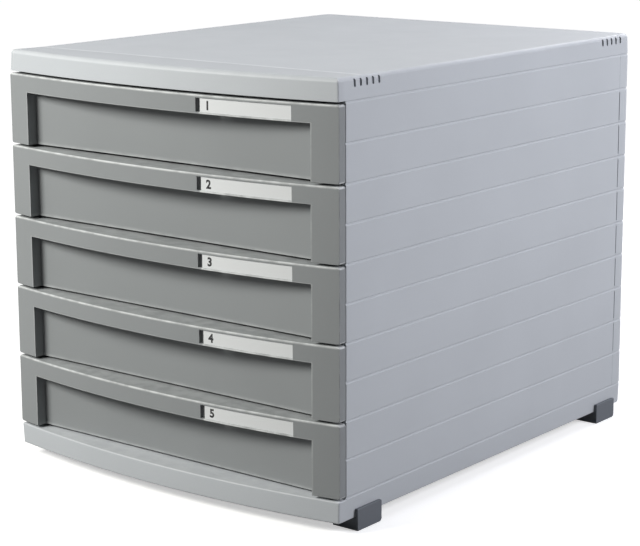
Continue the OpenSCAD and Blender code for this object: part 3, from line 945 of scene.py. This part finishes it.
def tray_mesh():
    """A drawer's tray, with the flanges it slides on and its stop lugs."""
    d0, d1 = BACK + TRAY.y0 - CORNER_Y, BACK + TRAY.y1 - CORNER_Y
    z0, z1 = TRAY.z0 - TRAY_PLACE, FLANGE_Z1
    inner_half, inner_d0, inner_d1 = TRAY_HALF - TRAY_WALL, d0 + TRAY_WALL, d1 - TRAY_WALL
    floor_z = z0 + TRAY_WALL
    steps = [
        (True, -TRAY_HALF, TRAY_HALF, d0, d1, z0, z1),
        (False, -inner_half, inner_half, inner_d0, inner_d1, floor_z, z1 + PAST),
    ]
    for side in (-1, 1):
        flange = sorted((side * TRAY_HALF, side * FLANGE_HALF))
        lug = sorted((side * FLANGE_HALF, side * TRAY.x1))
        steps.append((True, *flange, d0 + TRAY_CORNER_R, FLANGE_END, FLANGE_Z0, z1))
        steps.append((True, *lug, LUG_D, LUG_D + LUG_L, FLANGE_Z0, z1))
    bm = block_mesh(steps)

    def outer_corner(a, m):
        return a == 2 and abs(m.x) > TRAY_HALF - NEAR and (m.y < d0 + NEAR or m.y > d1 - NEAR)

    def inside(m):
        return abs(m.x) < inner_half + NEAR and inner_d0 - NEAR < m.y < inner_d1 + NEAR

    round_edges(bm, TRAY_ROUND_R, 6, outer_corner)
    round_edges(bm, TRAY_CORNER_R - TRAY_WALL, 5, lambda a, m: a == 2 and inside(m))
    round_edges(bm, TRAY_FLOOR_R, 4, lambda a, m: z0 + NEAR < m.z < floor_z + NEAR and inside(m))
    round_edges(bm, TRAY_FOOT_R, 3, lambda a, m: m.z < z0 + NEAR)
    round_edges(bm, TRAY_RIM_R, 2, lambda a, m: m.z > z1 - NEAR)
    return finish_mesh(bm, "drawer_tray")


DIGIT_HEIGHT = 5.2
DIGIT_SHARE = 0.7             # of the size of its type, that a digit is high
DIGIT_X = CARD_X0 + 4.0
DIGIT_RAISE = 0.03
DIGIT_BOLD = 0.3              # how far the outline is moved out
DIGIT_MERGE = 1e-4


def digit_mesh(number):
    """A plain number, printed on the left part of a card."""
    curve = bpy.data.curves.new("digit", "FONT")
    curve.body = str(number)
    curve.size = DIGIT_HEIGHT / DIGIT_SHARE
    curve.extrude = DIGIT_RAISE
    curve.offset = DIGIT_BOLD
    text = bpy.data.objects.new("digit", curve)
    bpy.context.scene.collection.objects.link(text)
    bpy.context.view_layer.update()
    mesh = bpy.data.meshes.new_from_object(text.evaluated_get(bpy.context.evaluated_depsgraph_get()))
    bpy.data.objects.remove(text)
    base_z = (WINDOW_Z0 + WINDOW_Z1 - DIGIT_HEIGHT) / 2
    face = LIP_T + CARD_GAP
    bm = bmesh.new()
    bm.from_mesh(mesh)
    bmesh.ops.remove_doubles(bm, verts=bm.verts[:], dist=DIGIT_MERGE)
    for v in bm.verts:
        v.co = place(DIGIT_X + v.co.x, face - v.co.z, base_z + v.co.y)
    bmesh.ops.recalc_face_normals(bm, faces=bm.faces[:])
    bm.to_mesh(mesh)
    bm.free()
    return mesh


def raised(mesh, name, lift):
    """A copy of a mesh, lift millimetres higher."""
    copy = mesh.copy()
    copy.name = name
    copy.transform(Matrix.Translation((0, 0, lift / MM)))
    return copy


def make_drawers():
    """The five drawers, numbered from the top."""
    parts = (
        ("drawer_front", front_mesh(), front_plastic, "front_plastic"),
        ("drawer_tray", tray_mesh(), tray_plastic, "tray_plastic"),
        ("label_card", card_mesh(), card_paper, "label_card"),
    )
    for i in range(1, DRAWERS + 1):
        lift = LID_Z - i * PITCH
        body = f"drawer_{i}"
        for kind, mesh, material, slot in parts:
            name = f"{kind}_{i}"
            make_piece(raised(mesh, name, lift), name, body, material, [name])
        name = f"label_number_{i}"
        make_piece(raised(digit_mesh(i), name, lift), name, body, card_ink)
    for _, mesh, _, _ in parts:
        bpy.data.meshes.remove(mesh)


# ---------------------------------------------------------------- studio

def area_light(name, at, aim, size, power, colour):
    """A soft lamp at a point, turned towards another, both in metres."""
    data = bpy.data.lights.new(name, "AREA")
    data.shape = "RECTANGLE"
    data.size, data.size_y = size
    data.energy = power
    data.color = colour
    obj = bpy.data.objects.new(name, data)
    obj.location = at
    obj.rotation_euler = (Vector(aim) - Vector(at)).to_track_quat("-Z", "Y").to_euler()
    bpy.context.scene.collection.objects.link(obj)
    return obj


def shown_directly(mat_or_world):
    """1 for rays that show the background itself: from the camera, or by way of gloss or glass."""
    tree = mat_or_world.node_tree
    rays = tree.nodes.new("ShaderNodeLightPath")
    value = rays.outputs["Is Camera Ray"]
    for other in ("Is Glossy Ray", "Is Transmission Ray"):
        larger = tree.nodes.new("ShaderNodeMath")
        larger.operation = "MAXIMUM"
        tree.links.new(value, larger.inputs[0])
        tree.links.new(rays.outputs[other], larger.inputs[1])
        value = larger.outputs[0]
    return value


FLOOR_SIZE = 40.0                           # in metres, as are the two distances
FLOOR_GLOW_NEAR = 0.5                       # what the floor adds to the lamps' light beside the object
FLOOR_GLOW_FAR = 1.0
FLOOR_NEAR = 0.35
FLOOR_FAR = 1.6
FLOOR_BOUNCE = (0.2, 0.2, 0.2, 1)           # its tone for the light that falls on the object
FLOOR_TONE = (0.86, 0.86, 0.86, 1)          # and where it is seen


def make_floor():
    """A wide pale floor that shows white and keeps the object's shadow."""
    bm = bmesh.new()
    bmesh.ops.create_grid(bm, x_segments=8, y_segments=8, size=FLOOR_SIZE / 2)
    mesh = bpy.data.meshes.new("floor")
    bm.to_mesh(mesh)
    bm.free()
    floor = bpy.data.objects.new("floor", mesh)
    bpy.context.scene.collection.objects.link(floor)
    mat = new_material("floor")
    coords = mat.node_tree.nodes.new("ShaderNodeTexCoord").outputs["Object"]
    distance = mat.node_tree.nodes.new("ShaderNodeVectorMath")
    distance.operation = "LENGTH"
    join(mat, (coords, distance.inputs[0]))
    glow = spread(mat, distance.outputs["Value"], FLOOR_NEAR, FLOOR_FAR, FLOOR_GLOW_NEAR, FLOOR_GLOW_FAR)
    seen = shown_directly(mat)
    pale = add_node(mat, "ShaderNodeBsdfDiffuse")
    shade = blend_colours(mat, seen, FLOOR_BOUNCE, FLOOR_TONE)
    light = add_node(mat, "ShaderNodeEmission")
    both = mat.node_tree.nodes.new("ShaderNodeAddShader")
    out = mat.node_tree.nodes.new("ShaderNodeOutputMaterial")
    join(mat,
         (shade, pale.inputs["Color"]),
         (multiply(mat, glow, seen), light.inputs["Strength"]),
         (pale.outputs["BSDF"], both.inputs[0]),
         (light.outputs["Emission"], both.inputs[1]),
         (both.outputs["Shader"], out.inputs["Surface"]))
    mesh.materials.append(mat)


AMBIENT = 0.005      # what the surroundings light the object with


def make_world():
    world = bpy.data.worlds.new("studio")
    bpy.context.scene.world = world
    world.use_nodes = True
    tree = world.node_tree
    background = tree.nodes["Background"]
    background.inputs["Color"].default_value = (1, 1, 1, 1)
    level = tree.nodes.new("ShaderNodeMapRange")
    level.inputs["To Min"].default_value = AMBIENT
    level.inputs["To Max"].default_value = 1.0
    tree.links.new(shown_directly(world), level.inputs["Value"])
    tree.links.new(level.outputs["Result"], background.inputs["Strength"])


LAMP_AIM = (0.0, -0.03, 0.14)
LAMP_DISTANCE = 1.2
WARM = (1.0, 0.994, 0.945)
COOL = (0.945, 0.95, 1.0)

# Name: degrees from straight in front, to the right seen from above; degrees up; size; watts; colour
LAMPS = {
    "key": (-27, 28, (0.54, 0.36), 15.1, WARM),
    "side": (108, 25, (0.63, 0.57), 10.4, COOL),
    "back": (180, 35, (0.63, 0.63), 6.0, COOL),
}


def make_lamps():
    for name, (turn, rise, size, power, colour) in LAMPS.items():
        turn, rise = math.radians(turn), math.radians(rise)
        way = Vector((math.sin(turn) * math.cos(rise), -math.cos(turn) * math.cos(rise), math.sin(rise)))
        area_light(f"lamp_{name}", Vector(LAMP_AIM) + way * LAMP_DISTANCE, LAMP_AIM, size, power, colour)


CAMERA_AT = (0.830, -1.058, 0.414)
CAMERA_YAW = -38.31       # degrees from +Y, clockwise seen from above
CAMERA_PITCH = 11.53      # degrees below the horizon
CAMERA_ROLL = -0.22
CAMERA_LENS = 110.8
CAMERA_SENSOR = 36
CAMERA_SHIFT = -0.05


def make_camera():
    data = bpy.data.cameras.new("camera")
    data.lens = CAMERA_LENS
    data.sensor_width = CAMERA_SENSOR
    data.shift_y = CAMERA_SHIFT
    obj = bpy.data.objects.new("camera", data)
    obj.location = CAMERA_AT
    turn = Matrix.Rotation(math.radians(-CAMERA_YAW), 3, "Z")
    tilt = Matrix.Rotation(math.radians(90 - CAMERA_PITCH), 3, "X")
    roll = Matrix.Rotation(math.radians(CAMERA_ROLL), 3, "Z")
    obj.rotation_euler = (turn @ tilt @ roll).to_euler()
    bpy.context.scene.collection.objects.link(obj)
    bpy.context.scene.camera = obj


# ---------------------------------------------------------------- the scene

make_camera()
make_world()
make_floor()
make_lamps()
make_lid()
make_base()
make_side_panel(1, "side_panel_right")
make_side_panel(-1, "side_panel_left")
make_rear_cover()
for foot_side in (-1, 1):
    for foot_end in FOOT_DEPTHS:
        make_foot(foot_side, foot_end)
make_drawers()

bpy.context.scene.view_settings.view_transform = "Standard"
